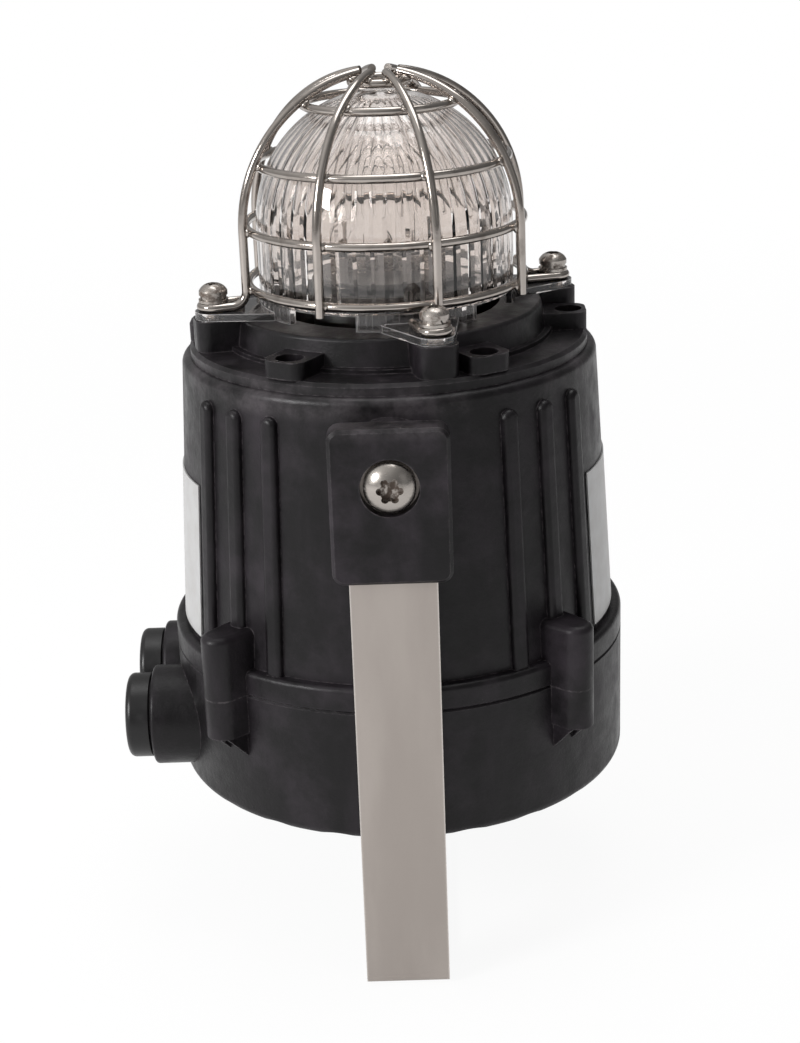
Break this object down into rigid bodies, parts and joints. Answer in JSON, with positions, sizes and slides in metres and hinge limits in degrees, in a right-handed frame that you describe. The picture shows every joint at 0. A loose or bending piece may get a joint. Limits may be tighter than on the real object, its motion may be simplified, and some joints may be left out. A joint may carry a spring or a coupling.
{
  "type": "xenon strobe beacon",
  "caption": "Heavy-duty strobe beacon: clear ribbed lens under a wire guard on a black moulded housing that tilts in a steel stirrup bracket",
  "frame": {"origin": "centre of the underside of the stirrup's foot, where it meets the surface it is bolted to", "axes": "+Z is the beacon's upright axis, out of the mounting surface; -Y is the front, towards one stirrup arm; the tilt axis runs along Y; +X is right"},
  "size_m": [0.1772, 0.1876, 0.2961],
  "materials": {
    "bracket_steel": "bead-dulled stainless strip",
    "moulded_polyester": "black glass-filled moulding, mottled",
    "plug_nylon": "satin black nylon",
    "stainless_fixings": "stainless",
    "guard_wire": "electropolished stainless wire",
    "brass_inserts": "turned",
    "seal_rubber": "matte",
    "clear_lens": "clear ribbed polycarbonate",
    "clear_glass": "polished",
    "bare_plate": "satin, bare",
    "board_laminate": "lacquered laminate",
    "capacitor_can": "sleeved can",
    "core_steel": "stacked laminations",
    "winding": "lacquered copper, taped",
    "terminal_plastic": "moulded"
  },
  "bodies": {
    "bracket": {"stirrup_bracket": "bracket_steel", "pivot_cap_front": "moulded_polyester", "pivot_cap_rear": "moulded_polyester", "pivot_washers": "stainless_fixings"},
    "beacon": {"pivot_screws": "stainless_fixings", "pivot_inserts": "brass_inserts", "ratchet_disc_front": "moulded_polyester", "ratchet_disc_rear": "moulded_polyester", "housing_body": "moulded_polyester", "base_enclosure": "moulded_polyester", "joint_seal": "seal_rubber", "lug_screws": "stainless_fixings", "top_ring": "moulded_polyester", "ring_screws": "stainless_fixings", "glass_dome": "clear_glass", "dome_gasket": "seal_rubber", "lens_cover": "clear_lens", "wire_guard": "guard_wire", "guard_screws": "stainless_fixings", "guard_spring_washers": "stainless_fixings", "guard_flat_washers": "stainless_fixings", "guard_inserts": "brass_inserts", "stopping_plug_front": "plug_nylon", "stopping_plug_rear": "plug_nylon", "plug_seals": "seal_rubber", "side_plate_left": "bare_plate", "side_plate_right": "bare_plate", "lamp_base": "plug_nylon", "xenon_tube": "clear_glass", "tube_ferrules": "brass_inserts", "trigger_board": "board_laminate", "power_board": "board_laminate", "upper_pillars": "brass_inserts", "lower_pillars": "brass_inserts", "board_screws": "stainless_fixings", "storage_capacitors": "capacitor_can", "transformer_core": "core_steel", "transformer_winding": "winding", "terminal_block": "terminal_plastic", "terminal_screws": "stainless_fixings", "block_screws": "stainless_fixings"}
  },
  "joints": [
    {"name": "tilt", "type": "hinge", "parent": "bracket", "child": "beacon", "pos_m": [0, 0, 0.1796], "axis": [0, 1, 0], "range_deg": [-90, 90]}
  ]
}
